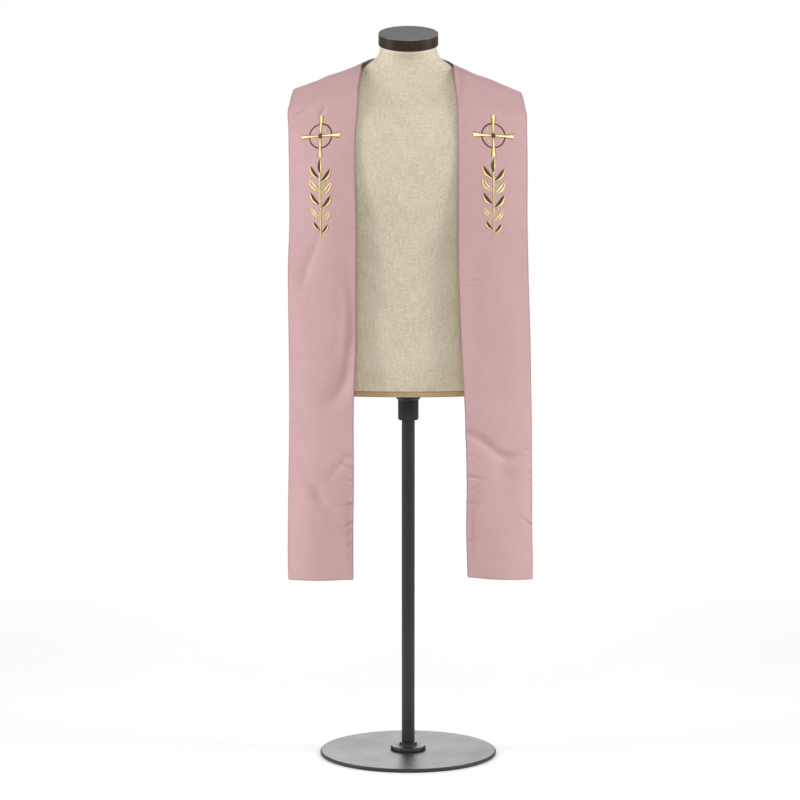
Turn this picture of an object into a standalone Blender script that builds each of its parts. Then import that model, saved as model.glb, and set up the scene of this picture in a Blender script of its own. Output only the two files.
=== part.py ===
"""A clerical overlay stole hung round the neck of a limbless dress form.

Metres, +Z up, the front faces -Y. The origin is the centre of the base's underside, on the floor.
Left and right are the wearer's, so the right half of the stole lies at -X.
"""

import math

import bmesh
import bpy
from mathutils import Vector
from mathutils.bvhtree import BVHTree

# ---------------------------------------------------------------- sizes: the cloth
STOLE_WIDTH = 0.150  # finished width of each front, edge to edge along the cloth
FACE_WALL = 0.0016  # face cloth with its interfacing
LINING_WALL = 0.0010
LAYER_GAP = 0.0003  # between face cloth and lining
BODY_GAP = 0.0006  # between lining and dress form where the stole rests
SEAM_GAP = 0.0003  # between the two halves at the centre back
SEAM_FLAT = 0.004  # the cloth lies flat this far to each side of the centre-back seam
LINING_INSET = 0.003  # the lining stops short of the folded edges
ACROSS = 8  # cells across the lining; the face cloth has a narrow one more at each edge
ALONG_FRONT = 30  # cells from the lining's tip to the collarbone
ALONG_NECK = 18  # cells from the collarbone over the shoulder to the centre back
BOW_ROUNDS = 2  # times the bow across the cloth is eased along its length
SETTLE_ROUNDS = 40

# Each front, from its tip up to the collarbone. Heights of the inner and outer edge, distance of each edge
# from the centre plane, y of the inner edge, and how much further back the outer edge lies.
FRONT_COLUMNS = ("z_inner", "z_outer", "inner", "outer", "y_inner", "back")
FRONT_RIGHT = (
    (0.395, 0.389, 0.1165, 0.2540, -0.112, 0.036),
    (0.500, 0.498, 0.1175, 0.2545, -0.126, 0.046),
    (0.600, 0.600, 0.1154, 0.2530, -0.133, 0.050),
    (0.750, 0.750, 0.1154, 0.2510, -0.132, 0.050),
    (0.900, 0.900, 0.1113, 0.2515, -0.131, 0.044),
    (1.050, 1.050, 0.1113, 0.2520, -0.131, 0.036),
    (1.150, 1.150, 0.1113, 0.2490, -0.132, 0.040),
    (1.250, 1.250, 0.1134, 0.2500, -0.132, 0.042),
    (1.330, 1.322, 0.1120, 0.2505, -0.126, 0.036),
    (1.383, 1.358, 0.1085, 0.2500, -0.110, 0.024),
)
FRONT_LEFT = (
    (0.401, 0.3895, 0.1240, 0.2635, -0.118, 0.040),
    (0.500, 0.497, 0.1217, 0.2618, -0.129, 0.047),
    (0.600, 0.600, 0.1217, 0.2609, -0.134, 0.050),
    (0.750, 0.750, 0.1175, 0.2590, -0.132, 0.044),
    (0.900, 0.900, 0.1092, 0.2545, -0.131, 0.034),
    (1.050, 1.050, 0.1036, 0.2505, -0.131, 0.030),
    (1.150, 1.150, 0.1030, 0.2478, -0.132, 0.030),
    (1.250, 1.250, 0.1030, 0.2475, -0.132, 0.030),
    (1.330, 1.322, 0.1024, 0.2470, -0.127, 0.028),
    (1.383, 1.356, 0.1012, 0.2460, -0.111, 0.020),
)

# Both halves from the collarbone over the shoulder to the centre-back seam: inner edge, outer edge, and how
# much lower, and how much nearer the centre plane, the left half's edges lie.
NECK_COLUMNS = (
    "x_inner", "y_inner", "z_inner", "x_outer", "y_outer", "z_outer",
    "drop_inner", "drop_outer", "draw_inner", "draw_outer",
)
NECK = (
    (0.1045, -0.082, 1.429, 0.2490, -0.070, 1.387, 0.001, 0.004, 0.005, 0.005),
    (0.0995, -0.040, 1.467, 0.2455, -0.036, 1.414, 0.002, 0.006, 0.004, 0.005),
    (0.0965, 0.006, 1.481, 0.2400, 0.006, 1.4275, 0.003, 0.008, 0.003, 0.004),
    (0.0885, 0.040, 1.491, 0.2300, 0.056, 1.402, 0.002, 0.006, 0.001, 0.003),
    (0.0660, 0.066, 1.499, 0.1930, 0.097, 1.378, 0.001, 0.004, 0.000, 0.001),
    (0.0360, 0.077, 1.502, 0.1120, 0.119, 1.350, 0.000, 0.001, 0.000, 0.000),
    (0.0000, 0.080, 1.503, 0.0000, 0.128, 1.320, 0.000, 0.000, 0.000, 0.000),
)

# The largest soft folds: half, height of the middle, place across (0 inner edge, 1 outer edge), lean from
# upright in degrees, half length, half width, and height of the fold (a trough is negative).
FOLD_COLUMNS = ("half", "z", "across", "lean", "half_length", "half_width", "height")
FOLDS = (
    ("right", 0.900, 0.20, 2, 0.170, 0.030, -0.0050),
    ("right", 0.580, 0.40, 62, 0.080, 0.035, -0.0035),
    ("left", 0.690, 0.25, -58, 0.075, 0.035, -0.0050),
    ("left", 0.675, 0.80, 80, 0.050, 0.035, -0.0035),
    ("left", 0.560, 0.12, 0, 0.070, 0.025, 0.0030),
    ("right", 1.390, 0.00, 4, 0.110, 0.014, -0.0050),
    ("left", 1.380, 0.00, -4, 0.120, 0.016, -0.0060),
)

# ---------------------------------------------------------------- sizes: the dress form
# Sections of the torso and neck: height, half width, reach in front and behind of y = middle, middle,
# and squareness (2 is an ellipse).
TORSO_COLUMNS = ("z", "half_width", "front", "behind", "middle", "power")
TORSO = (
    (0.790, 0.166, 0.108, 0.114, 0.000, 2.3),
    (0.860, 0.174, 0.114, 0.122, 0.000, 2.3),
    (0.950, 0.170, 0.115, 0.117, 0.000, 2.3),
    (1.050, 0.162, 0.119, 0.104, 0.000, 2.3),
    (1.150, 0.172, 0.129, 0.107, 0.000, 2.4),
    (1.250, 0.190, 0.139, 0.117, 0.000, 2.5),
    (1.310, 0.207, 0.136, 0.124, 0.000, 2.5),
    (1.355, 0.227, 0.121, 0.124, 0.000, 2.5),
    (1.382, 0.238, 0.104, 0.116, 0.000, 2.5),
    (1.399, 0.235, 0.091, 0.108, 0.001, 2.4),
    (1.415, 0.216, 0.078, 0.098, 0.002, 2.3),
    (1.431, 0.180, 0.067, 0.089, 0.003, 2.2),
    (1.448, 0.140, 0.060, 0.081, 0.004, 2.1),
    (1.465, 0.106, 0.057, 0.074, 0.004, 2.0),
    (1.482, 0.082, 0.057, 0.069, 0.003, 2.0),
    (1.495, 0.067, 0.058, 0.062, 0.000, 2.0),
    (1.508, 0.0610, 0.0585, 0.0590, -0.004, 2.0),
    (1.520, 0.0600, 0.0590, 0.0590, -0.008, 2.0),
)
TORSO_SEGMENTS = 40
BODY_RINGS = 12  # rings below the chest
SHOULDER_RINGS = 22  # rings from the chest to the top of the neck
SHOULDER_FROM = 1.350
NECK_LEAN = math.radians(19.5)  # the neck block leans forward
NECK_LEAN_FROM = 1.485  # the sections start to lean here

BLOCK_RADIUS = 0.0635
BLOCK_HEIGHT = 0.025
BLOCK_BEVEL = 0.0015

BOARD_HEIGHT = 0.012
BOARD_INSET = 0.004
SOCKET_RADIUS = 0.026
SOCKET_HEIGHT = 0.055
POLE_RADIUS = 0.014
FLANGE_RADIUS = 0.038
FLANGE_HEIGHT = 0.016
BASE_RADIUS = 0.190
BASE_HEIGHT = 0.008
TOUCH = 0.0003  # between pieces that touch
ROUND_SEGMENTS = 40
EDGE_BEVEL = 0.002

# ---------------------------------------------------------------- colours
ROSE = (0.62, 0.39, 0.40, 1.0)
TAN = (0.42, 0.36, 0.25, 1.0)
LINEN = (0.55, 0.48, 0.36, 1.0)
DARK_BROWN = (0.045, 0.035, 0.028, 1.0)
BIRCH = (0.50, 0.36, 0.21, 1.0)
BLACK = (0.020, 0.020, 0.021, 1.0)


def clear_scene():
    for thing in list(bpy.data.objects):
        bpy.data.objects.remove(thing, do_unlink=True)


def material(name, colour, roughness, metallic=0.0):
    made = bpy.data.materials.new(name)
    made.use_nodes = True
    shader = made.node_tree.nodes["Principled BSDF"]
    shader.inputs["Base Color"].default_value = colour
    shader.inputs["Roughness"].default_value = roughness
    shader.inputs["Metallic"].default_value = metallic
    return made


def place(name, mesh, finish, collection):
    made = bpy.data.objects.new(name, mesh)
    made.data.materials.clear()
    made.data.materials.append(finish)
    collection.objects.link(made)
    return made


def smooth_reader(keys, values):
    """A smooth curve through values at rising keys, read at any key (Catmull-Rom, held at its ends)."""

    def read(key):
        key = min(max(key, keys[0]), keys[-1])
        i = 0
        while i < len(keys) - 2 and key > keys[i + 1]:
            i += 1
        before, after = max(i - 1, 0), min(i + 2, len(keys) - 1)
        span = keys[i + 1] - keys[i]
        t = (key - keys[i]) / span
        start = (values[i + 1] - values[before]) / (keys[i + 1] - keys[before]) * span
        end = (values[after] - values[i]) / (keys[after] - keys[i]) * span
        return (
            values[i] * (2 * t**3 - 3 * t**2 + 1)
            + start * (t**3 - 2 * t**2 + t)
            + values[i + 1] * (3 * t**2 - 2 * t**3)
            + end * (t**3 - t**2)
        )

    return read


# ---------------------------------------------------------------- the dress form
def torso_ring(read, z):
    """One closed section of the torso, leaning forward where it belongs to the neck."""
    half_width, front, behind, middle, power = (read[c](z) for c in TORSO_COLUMNS[1:])
    top = TORSO[-1][0]
    lean = NECK_LEAN * max(0.0, (z - NECK_LEAN_FROM) / (top - NECK_LEAN_FROM))
    ring = []
    for step in range(TORSO_SEGMENTS):
        angle = 2 * math.pi * step / TORSO_SEGMENTS
        across, along = math.cos(angle), math.sin(angle)
        reach = behind if along > 0 else front
        x = half_width * math.copysign(abs(across) ** (2 / power), across)
        y = reach * math.copysign(abs(along) ** (2 / power), along)
        ring.append(Vector((x, middle + y, z + y * math.tan(lean))))
    return ring


def torso_mesh():
    keys = [row[0] for row in TORSO]
    read = {c: smooth_reader(keys, [row[i] for row in TORSO]) for i, c in enumerate(TORSO_COLUMNS)}
    bottom, top = keys[0], keys[-1]
    heights = [bottom + (SHOULDER_FROM - bottom) * i / BODY_RINGS for i in range(BODY_RINGS)]
    heights += [SHOULDER_FROM + (top - SHOULDER_FROM) * i / SHOULDER_RINGS for i in range(SHOULDER_RINGS + 1)]
    shape = bmesh.new()
    rings = [[shape.verts.new(p) for p in torso_ring(read, z)] for z in heights]
    for lower, upper in zip(rings, rings[1:]):
        for i in range(TORSO_SEGMENTS):
            j = (i + 1) % TORSO_SEGMENTS
            shape.faces.new((lower[i], lower[j], upper[j], upper[i]))
    shape.faces.new(list(reversed(rings[0])))
    shape.faces.new(rings[-1])
    bmesh.ops.recalc_face_normals(shape, faces=shape.faces)
    mesh = bpy.data.meshes.new("torso")
    shape.to_mesh(mesh)
    shape.free()
    mesh.shade_smooth()
    mesh.set_sharp_from_angle(angle=math.radians(50))
    return mesh


def round_piece(name, radius, height, location, finish, collection, bevel=EDGE_BEVEL):
    """An upright cylinder with softened rims, its centre at location."""
    bpy.ops.mesh.primitive_cylinder_add(vertices=ROUND_SEGMENTS, radius=radius, depth=height, location=location)
    made = bpy.context.object
    made.name = name
    made.data.name = name
    for holder in list(made.users_collection):
        holder.objects.unlink(made)
    collection.objects.link(made)
    made.data.materials.append(finish)
    made.data.shade_smooth()
    made.data.set_sharp_from_angle(angle=math.radians(50))
    softened = made.modifiers.new("rims", "BEVEL")
    softened.width = bevel
    softened.segments = 1
    softened.limit_method = "ANGLE"
    softened.angle_limit = math.radians(60)
    return made


def board_mesh(torso):
    """The hip board: the torso's lowest outline drawn in a little, as a flat plate."""
    bottom = min(v.co.z for v in torso.vertices)
    outline = [v.co for v in torso.vertices if v.co.z < bottom + 1e-6]
    outline.sort(key=lambda p: math.atan2(p.y, p.x))
    shape = bmesh.new()
    rim = []
    for p in outline:
        scale = 1 - BOARD_INSET / math.hypot(p.x, p.y)
        rim.append(shape.verts.new((p.x * scale, p.y * scale, bottom - TOUCH)))
    face = shape.faces.new(rim)
    grown = bmesh.ops.extrude_face_region(shape, geom=[face])
    lowered = [v for v in grown["geom"] if isinstance(v, bmesh.types.BMVert)]
    bmesh.ops.translate(shape, verts=lowered, vec=(0, 0, -BOARD_HEIGHT))
    bmesh.ops.recalc_face_normals(shape, faces=shape.faces)
    mesh = bpy.data.meshes.new("hip_board")
    shape.to_mesh(mesh)
    shape.free()
    return mesh


def build_form(collection):
    linen = material("linen_cover", LINEN, 0.85)
    painted = material("dark_painted_wood", DARK_BROWN, 0.45)
    birch = material("birch_board", BIRCH, 0.55)
    steel = material("black_steel", BLACK, 0.40, 0.6)

    torso = place("torso", torso_mesh(), linen, collection)

    top, middle = TORSO[-1][0], TORSO[-1][4]
    up = Vector((0, -math.sin(NECK_LEAN), math.cos(NECK_LEAN)))
    seat = Vector((0, middle, top)) + up * (TOUCH + BLOCK_HEIGHT / 2)
    block = round_piece("neck_block", BLOCK_RADIUS, BLOCK_HEIGHT, seat, painted, collection, BLOCK_BEVEL)
    block.rotation_euler = (NECK_LEAN, 0, 0)

    place("hip_board", board_mesh(torso.data), birch, collection)
    board_under = TORSO[0][0] - TOUCH - BOARD_HEIGHT
    socket_middle = board_under - TOUCH - SOCKET_HEIGHT / 2
    round_piece("socket", SOCKET_RADIUS, SOCKET_HEIGHT, (0, 0, socket_middle), steel, collection)
    round_piece("base_plate", BASE_RADIUS, BASE_HEIGHT, (0, 0, BASE_HEIGHT / 2), steel, collection)
    flange_foot = BASE_HEIGHT + TOUCH
    flange_middle = flange_foot + FLANGE_HEIGHT / 2
    round_piece("flange", FLANGE_RADIUS, FLANGE_HEIGHT, (0, 0, flange_middle), steel, collection)
    pole_foot = flange_foot + FLANGE_HEIGHT + TOUCH
    pole_top = socket_middle - SOCKET_HEIGHT / 2 - TOUCH
    pole_middle = (pole_foot + pole_top) / 2
    round_piece(
        "pole", POLE_RADIUS, pole_top - pole_foot, (0, 0, pole_middle), steel, collection, POLE_RADIUS / 10
    )
    return torso


# ---------------------------------------------------------------- the stole
def station_points(front, side):
    """Inner and outer edge points at every station, tip first; side is -1 on the wearer's right."""
    stations = []
    for row in front:
        at = dict(zip(FRONT_COLUMNS, row))
        inner = Vector((side * at["inner"], at["y_inner"], at["z_inner"]))
        outer = Vector((side * at["outer"], at["y_inner"] + at["back"], at["z_outer"]))
        stations.append((inner, outer))
    for row in NECK:
        at = dict(zip(NECK_COLUMNS, row))
        left = 1 if side > 0 else 0
        ends = []
        for edge in ("inner", "outer"):
            x = side * (at[f"x_{edge}"] - left * at[f"draw_{edge}"])
            ends.append(Vector((x, at[f"y_{edge}"], at[f"z_{edge}"] - left * at[f"drop_{edge}"])))
        stations.append(tuple(ends))
    return stations


def station_bows(stations):
    """How far the cloth bows out between its edges at each station, eased along the stole."""
    bows = []
    for inner, outer in stations:
        chord = (outer - inner).length
        bows.append(math.sqrt(3 * chord * max(0.0, STOLE_WIDTH - chord) / 8))
    for _ in range(BOW_ROUNDS):
        ends = [bows[0]] + bows + [bows[-1]]
        bows = [(before + 2 * bow + after) / 4 for before, bow, after in zip(ends, bows, ends[2:])]
    return bows


def edge_readers(stations):
    """Smooth curves of the two edges and the bow between them, and the keys of the collarbone and the end."""
    keys = [0.0]
    for (a, b), (c, d) in zip(stations, stations[1:]):
        keys.append(keys[-1] + ((c - a).length + (d - b).length) / 2)
    readers = [smooth_reader(keys, values) for values in (*zip(*stations), station_bows(stations))]
    return readers, keys[len(stations) - len(NECK)], keys[-1]


def fold_height(half, z, across):
    """How far the cloth stands out at a place on a front, from all its folds together."""
    total = 0.0
    for row in FOLDS:
        fold = dict(zip(FOLD_COLUMNS, row))
        if fold["half"] != half:
            continue
        lean = math.radians(fold["lean"])
        du = (across - fold["across"]) * STOLE_WIDTH
        dv = z - fold["z"]
        along = (dv * math.cos(lean) + du * math.sin(lean)) / fold["half_length"]
        aside = (du * math.cos(lean) - dv * math.sin(lean)) / fold["half_width"]
        total += fold["height"] * math.exp(-(along**2) - aside**2)
    return total


def cloth_rows(half, front, side):
    """Rows of points across the cloth, tip first, before it settles on the dress form.

    The outermost points and the first row are the folded edges, and the next ones in are the lining's.
    """
    (inner_at, outer_at, bow_at), collarbone, end = edge_readers(station_points(front, side))
    keys = [0.0]
    keys += [LINING_INSET + (collarbone - LINING_INSET) * i / ALONG_FRONT for i in range(ALONG_FRONT)]
    keys += [collarbone + (end - collarbone) * i / ALONG_NECK for i in range(ALONG_NECK + 1)]
    inset = LINING_INSET / STOLE_WIDTH
    places = [0.0] + [inset + (1 - 2 * inset) * i / ACROSS for i in range(ACROSS + 1)] + [1.0]
    rows = []
    for key in keys:
        inner, outer = inner_at(key), outer_at(key)
        chord = outer - inner
        bow = bow_at(key)
        outward = Vector((chord.y, -chord.x, 0)) * side
        outward.normalize()
        row = []
        for across in places:
            lift = 4 * bow * across * (1 - across) + fold_height(half, inner.z, across)
            row.append(inner + chord * across + outward * lift)
        rows.append(row)
    return rows


def settle(rows, body, gap):
    """Push the cloth out of the body until its points and the middles of its cells are all gap clear."""
    samples = []
    for i in range(len(rows)):
        for j in range(len(rows[0])):
            samples.append(((i, j),))
            if i and j:
                samples.append(((i, j), (i - 1, j), (i, j - 1), (i - 1, j - 1)))
            if i:
                samples.append(((i, j), (i - 1, j)))
            if j:
                samples.append(((i, j), (i, j - 1)))
    for _ in range(SETTLE_ROUNDS):
        pushes = {}
        for sample in samples:
            middle = sum((rows[i][j] for i, j in sample), Vector()) / len(sample)
            near, normal, _, distance = body.find_nearest(middle)
            clear = math.copysign(distance, (middle - near).dot(normal))
            if clear < gap - 1e-6:
                for place_in_grid in sample:
                    push = normal * (gap - clear)
                    if push.length > pushes.get(place_in_grid, Vector()).length:
                        pushes[place_in_grid] = push
        if not pushes:
            break
        for (i, j), push in pushes.items():
            rows[i][j] = rows[i][j] + push
    return rows


def flatten_seam(rows, side):
    """The last two rows lie side by side across the centre-back seam, so the halves meet squarely."""
    for before, last in zip(rows[-2], rows[-1]):
        last.x = side * SEAM_GAP / 2
        before.x = side * SEAM_FLAT
        before.y = last.y
        before.z = last.z
    return rows


def surface(name, rows, side):
    """An open cloth surface through rows of points, its faces outward."""
    shape = bmesh.new()
    bmesh.ops.create_grid(shape, x_segments=len(rows[0]) - 1, y_segments=len(rows) - 1, size=0.5)
    shape.verts.ensure_lookup_table()
    points = [p for row in rows for p in row]
    for vertex, point in zip(shape.verts, points):
        vertex.co = point
    if side < 0:
        bmesh.ops.reverse_faces(shape, faces=shape.faces)
    bmesh.ops.triangulate(shape, faces=shape.faces, quad_method="FIXED")
    mesh = bpy.data.meshes.new(name)
    shape.to_mesh(mesh)
    shape.free()
    mesh.shade_smooth()
    return mesh


def lining_rows(mesh, rows):
    """The face cloth's points without those of its folded edges, moved in to lie under it."""
    moved = [v.co - v.normal * (FACE_WALL + LAYER_GAP) for v in mesh.vertices]
    width = len(rows[0])
    return [moved[i * width + 1 : (i + 1) * width - 1] for i in range(1, len(rows))]


def thicken(piece, wall):
    layer = piece.modifiers.new("wall", "SOLIDIFY")
    layer.thickness = wall
    layer.offset = -1
    return piece


def build_half(half, front, side, torso, finishes, collection):
    body = BVHTree.FromPolygons(
        [v.co.copy() for v in torso.data.vertices], [p.vertices[:] for p in torso.data.polygons]
    )
    gap = FACE_WALL + LAYER_GAP + LINING_WALL + BODY_GAP
    rows = flatten_seam(settle(cloth_rows(half, front, side), body, gap), side)
    rose, tan = finishes
    face = place(f"stole_{half}", surface(f"stole_{half}", rows, side), rose, collection)
    thicken(face, FACE_WALL)
    under = surface(f"lining_{half}", lining_rows(face.data, rows), side)
    lining = place(f"lining_{half}", under, tan, collection)
    thicken(lining, LINING_WALL)


def build():
    clear_scene()
    collection = bpy.data.collections.new("stole_on_dress_form")
    bpy.context.scene.collection.children.link(collection)
    torso = build_form(collection)
    finishes = (material("rose_cloth", ROSE, 0.75), material("tan_lining", TAN, 0.60))
    build_half("right", FRONT_RIGHT, -1, torso, finishes, collection)
    build_half("left", FRONT_LEFT, 1, torso, finishes, collection)


build()
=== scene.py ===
"""A clerical overlay stole of rose cloth, worked with gold thread, hung round a limbless dress form.

Metres, +Z up, the front faces -Y. Left and right are the wearer's, so the right half lies at -X.
"""

import math
import random

import bmesh
import bpy
import numpy as np
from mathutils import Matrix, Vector, noise
from mathutils.bvhtree import BVHTree


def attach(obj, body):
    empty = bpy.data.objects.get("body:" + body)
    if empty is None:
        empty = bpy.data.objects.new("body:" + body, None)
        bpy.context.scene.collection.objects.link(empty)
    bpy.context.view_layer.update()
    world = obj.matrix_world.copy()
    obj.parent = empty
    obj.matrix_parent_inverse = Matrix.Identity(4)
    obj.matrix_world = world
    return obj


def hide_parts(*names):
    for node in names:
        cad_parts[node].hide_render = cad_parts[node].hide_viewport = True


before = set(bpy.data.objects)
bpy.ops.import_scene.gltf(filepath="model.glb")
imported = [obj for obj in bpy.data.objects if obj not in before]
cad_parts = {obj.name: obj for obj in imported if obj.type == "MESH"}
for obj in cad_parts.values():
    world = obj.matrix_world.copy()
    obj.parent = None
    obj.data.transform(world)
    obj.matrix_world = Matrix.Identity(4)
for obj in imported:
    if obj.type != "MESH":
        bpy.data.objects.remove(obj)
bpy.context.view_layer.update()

# ---- sizes: the cloth
STOLE_WIDTH = 0.150
FACE_WALL = 0.0016
LINING_WALL = 0.0010
LAYER_GAP = 0.0003
BODY_GAP = 0.0006
SEAM_GAP = 0.0003
SEAM_FLAT = 0.004
CLEARANCE = FACE_WALL + LAYER_GAP + LINING_WALL + BODY_GAP
EDGE_CELLS = (0.0, 0.0008, 0.0018, 0.003)  # fine cells along every folded edge
CELLS_ACROSS = 56
CELLS_FRONT = 500
CELLS_NECK = 110
BOW_ROUNDS = 2  # times the bow across the cloth is eased along its length
CORNER_RADIUS = 0.003
# Painted shade: the cloth is darkened along its folded edges and the tip, standing in for the rolled edge
# turning away from the light.
PAINTED_EDGE_SHADE = 0.0030  # the folded edge looks darker over this width
EDGE_ROUND = 0.0007
TURNING_WIDTH, TURNING_LIFT, TURNING_FADE = 0.0115, 0.00022, 0.0009  # the turned-in allowance

# Each front from its tip up to the collarbone: heights of the inner and outer edge, distance of each edge
# from the centre plane, y of the inner edge, and how much further back the outer edge lies.
FRONTS = {
    "right": (
        (0.3895, 0.3885, 0.1142, 0.2555, -0.112, 0.036),
        (0.500, 0.498, 0.1159, 0.2545, -0.126, 0.046),
        (0.600, 0.600, 0.1140, 0.2530, -0.133, 0.050),
        (0.750, 0.750, 0.1141, 0.2510, -0.132, 0.050),
        (0.900, 0.900, 0.1102, 0.2515, -0.131, 0.044),
        (1.050, 1.050, 0.1093, 0.2526, -0.131, 0.036),
        (1.150, 1.150, 0.1089, 0.2496, -0.132, 0.040),
        (1.250, 1.250, 0.1101, 0.2500, -0.132, 0.042),
        (1.330, 1.322, 0.1090, 0.2505, -0.126, 0.036),
        (1.383, 1.358, 0.1053, 0.2500, -0.110, 0.024),
    ),
    "left": (
        (0.3970, 0.3895, 0.1240, 0.2645, -0.118, 0.040),
        (0.500, 0.497, 0.1217, 0.2618, -0.129, 0.047),
        (0.600, 0.600, 0.1217, 0.2609, -0.134, 0.050),
        (0.750, 0.750, 0.1175, 0.2590, -0.132, 0.044),
        (0.900, 0.900, 0.1092, 0.2554, -0.131, 0.031),
        (1.050, 1.050, 0.1036, 0.2505, -0.131, 0.030),
        (1.150, 1.150, 0.1030, 0.2483, -0.132, 0.029),
        (1.250, 1.250, 0.1017, 0.2481, -0.132, 0.028),
        (1.330, 1.322, 0.1016, 0.2472, -0.127, 0.028),
        (1.383, 1.356, 0.1012, 0.2460, -0.111, 0.020),
    ),
}

# Both halves from the collarbone over the shoulder to the centre-back seam: inner edge, outer edge, and how
# much lower, and how much nearer the centre plane, the left half's edges lie.
NECK = (
    (0.1045, -0.082, 1.429, 0.2490, -0.070, 1.387, 0.001, 0.004, 0.005, 0.005),
    (0.0995, -0.040, 1.467, 0.2455, -0.036, 1.414, 0.002, 0.006, 0.004, 0.005),
    (0.0965, 0.006, 1.481, 0.2400, 0.006, 1.4275, 0.003, 0.008, 0.003, 0.004),
    (0.0885, 0.040, 1.491, 0.2300, 0.056, 1.402, 0.002, 0.006, 0.001, 0.003),
    (0.0660, 0.066, 1.499, 0.1930, 0.097, 1.378, 0.001, 0.004, 0.000, 0.001),
    (0.0360, 0.077, 1.502, 0.1120, 0.119, 1.350, 0.000, 0.001, 0.000, 0.000),
    (0.0000, 0.080, 1.503, 0.0000, 0.128, 1.320, 0.000, 0.000, 0.000, 0.000),
)

# Soft folds: distance from the tip, distance from the inner edge, lean from the cloth's length in degrees
# (positive leans outward going up), half length, half width, height (a trough is negative).
FOLDS = {
    "right": (
        (1.125, 0.080, 0, 0.035, 0.0280, 0.0018),
        (0.992, 0.115, -72, 0.018, 0.0050, -0.0030),
        (0.986, 0.072, -27, 0.016, 0.0048, -0.0032),
        (0.690, 0.092, -20, 0.050, 0.0090, -0.0028),
        (0.655, 0.110, -10, 0.040, 0.0100, -0.0019),
        (0.590, 0.016, 2, 0.095, 0.0160, -0.0075),
        (0.495, 0.017, -7, 0.075, 0.0175, -0.0110),
        (0.410, 0.034, -28, 0.050, 0.0200, -0.0088),
        (0.750, 0.112, 0, 0.200, 0.0360, -0.0040),
        (0.480, 0.100, 8, 0.120, 0.0300, 0.0035),
        (0.243, 0.034, -39, 0.030, 0.0080, -0.0030),
        (0.226, 0.102, 34, 0.026, 0.0120, -0.0026),
        (0.186, 0.076, 25, 0.026, 0.0135, -0.0070),
        (0.138, 0.050, 10, 0.036, 0.0190, -0.0038),
        (0.070, 0.046, 4, 0.060, 0.0240, -0.0020),
        (0.105, 0.010, 1, 0.070, 0.0120, -0.0062),
        (0.140, 0.096, 0, 0.110, 0.0330, 0.0064),
        (0.000, 0.012, 0, 0.140, 0.0450, -0.0125),
        (0.000, 0.075, 90, 0.120, 0.0240, -0.0028),
        (1.000, 0.085, 90, 0.110, 0.0280, 0.0100),
        (1.130, 0.104, 30, 0.045, 0.0160, -0.0014),
        (1.190, 0.055, 64, 0.050, 0.0130, -0.0035),
        (1.225, 0.110, 55, 0.045, 0.0150, 0.0029),
        (1.285, 0.050, 40, 0.040, 0.0110, -0.0026),
    ),
    "left": (
        (0.996, 0.085, -63, 0.045, 0.0150, -0.0035),
        (0.955, 0.050, -50, 0.050, 0.0180, -0.0022),
        (0.630, 0.034, 86, 0.020, 0.0032, -0.0013),
        (0.618, 0.040, 88, 0.018, 0.0030, -0.0011),
        (0.560, 0.030, 4, 0.130, 0.0220, -0.0032),
        (0.500, 0.100, -6, 0.150, 0.0300, 0.0026),
        (1.125, 0.085, 0, 0.035, 0.0300, 0.0012),
        (0.308, 0.010, -78, 0.022, 0.0080, -0.0042),
        (0.288, 0.044, -54, 0.030, 0.0100, -0.0072),
        (0.261, 0.086, -74, 0.028, 0.0100, -0.0068),
        (0.261, 0.122, 80, 0.020, 0.0085, -0.0040),
        (0.236, 0.080, 14, 0.028, 0.0220, -0.0060),
        (0.330, 0.080, -70, 0.050, 0.0300, 0.0035),
        (0.200, 0.120, 0, 0.060, 0.0220, 0.0032),
        (0.105, 0.011, 0, 0.070, 0.0125, -0.0064),
        (0.000, 0.012, 0, 0.110, 0.0400, -0.0085),
        (0.045, 0.070, 70, 0.040, 0.0100, -0.0024),
        (0.000, 0.075, 90, 0.120, 0.0240, -0.0028),
        (0.982, 0.080, 84, 0.100, 0.0240, 0.0065),
        (1.025, 0.012, 2, 0.055, 0.0080, -0.0042),
        (1.110, 0.054, -24, 0.045, 0.0150, -0.0012),
        (1.175, 0.095, 58, 0.055, 0.0140, -0.0038),
        (1.215, 0.040, 70, 0.040, 0.0120, 0.0022),
        (1.270, 0.085, 30, 0.050, 0.0120, -0.0029),
    ),
}

# Small puckers drawn in by the slip-stitched edges: edge, distance from the tip, lean of the pucker from
# straight across in degrees, reach in from the edge, depth.
PUCKERS = {
    "right": (
        ("inner", 0.264, 20, 0.022, 0.0024),
        ("inner", 0.240, 30, 0.030, 0.0032),
        ("inner", 0.214, 12, 0.018, 0.0024),
        ("inner", 0.168, -14, 0.027, 0.0036),
        ("inner", 0.128, -32, 0.025, 0.0035),
        ("inner", 0.108, -22, 0.022, 0.0029),
        ("inner", 0.077, -8, 0.018, 0.0028),
        ("outer", 0.330, 10, 0.016, 0.0014),
        ("outer", 0.190, -16, 0.019, 0.0016),
        ("inner", 0.740, 14, 0.015, 0.0011),
        ("outer", 0.860, -18, 0.016, 0.0014),
    ),
    "left": (
        ("inner", 0.315, -8, 0.018, 0.0016),
        ("inner", 0.264, 4, 0.018, 0.0026),
        ("inner", 0.222, -10, 0.028, 0.0033),
        ("inner", 0.190, 22, 0.022, 0.0030),
        ("inner", 0.166, -6, 0.020, 0.0030),
        ("inner", 0.083, 10, 0.018, 0.0026),
        ("outer", 0.268, 14, 0.019, 0.0019),
        ("outer", 0.222, 10, 0.015, 0.0026),
        ("outer", 0.206, -8, 0.014, 0.0024),
        ("outer", 0.112, 34, 0.024, 0.0032),
        ("outer", 0.078, -6, 0.016, 0.0022),
        ("outer", 0.560, -12, 0.014, 0.0011),
        ("inner", 0.700, 16, 0.015, 0.0011),
    ),
}
PUCKER_HALF_WIDTH = 0.0046
PUCKER_STARTS = 0.003  # a pucker is held down by the stitches this close to the edge

# Ripples all over the cloth: height, how many to a metre across and along, shift of the noise.
RIPPLES = ((0.00075, 13, 8, 0), (0.00022, 55, 38, 4), (0.00007, 190, 150, 9))

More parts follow.
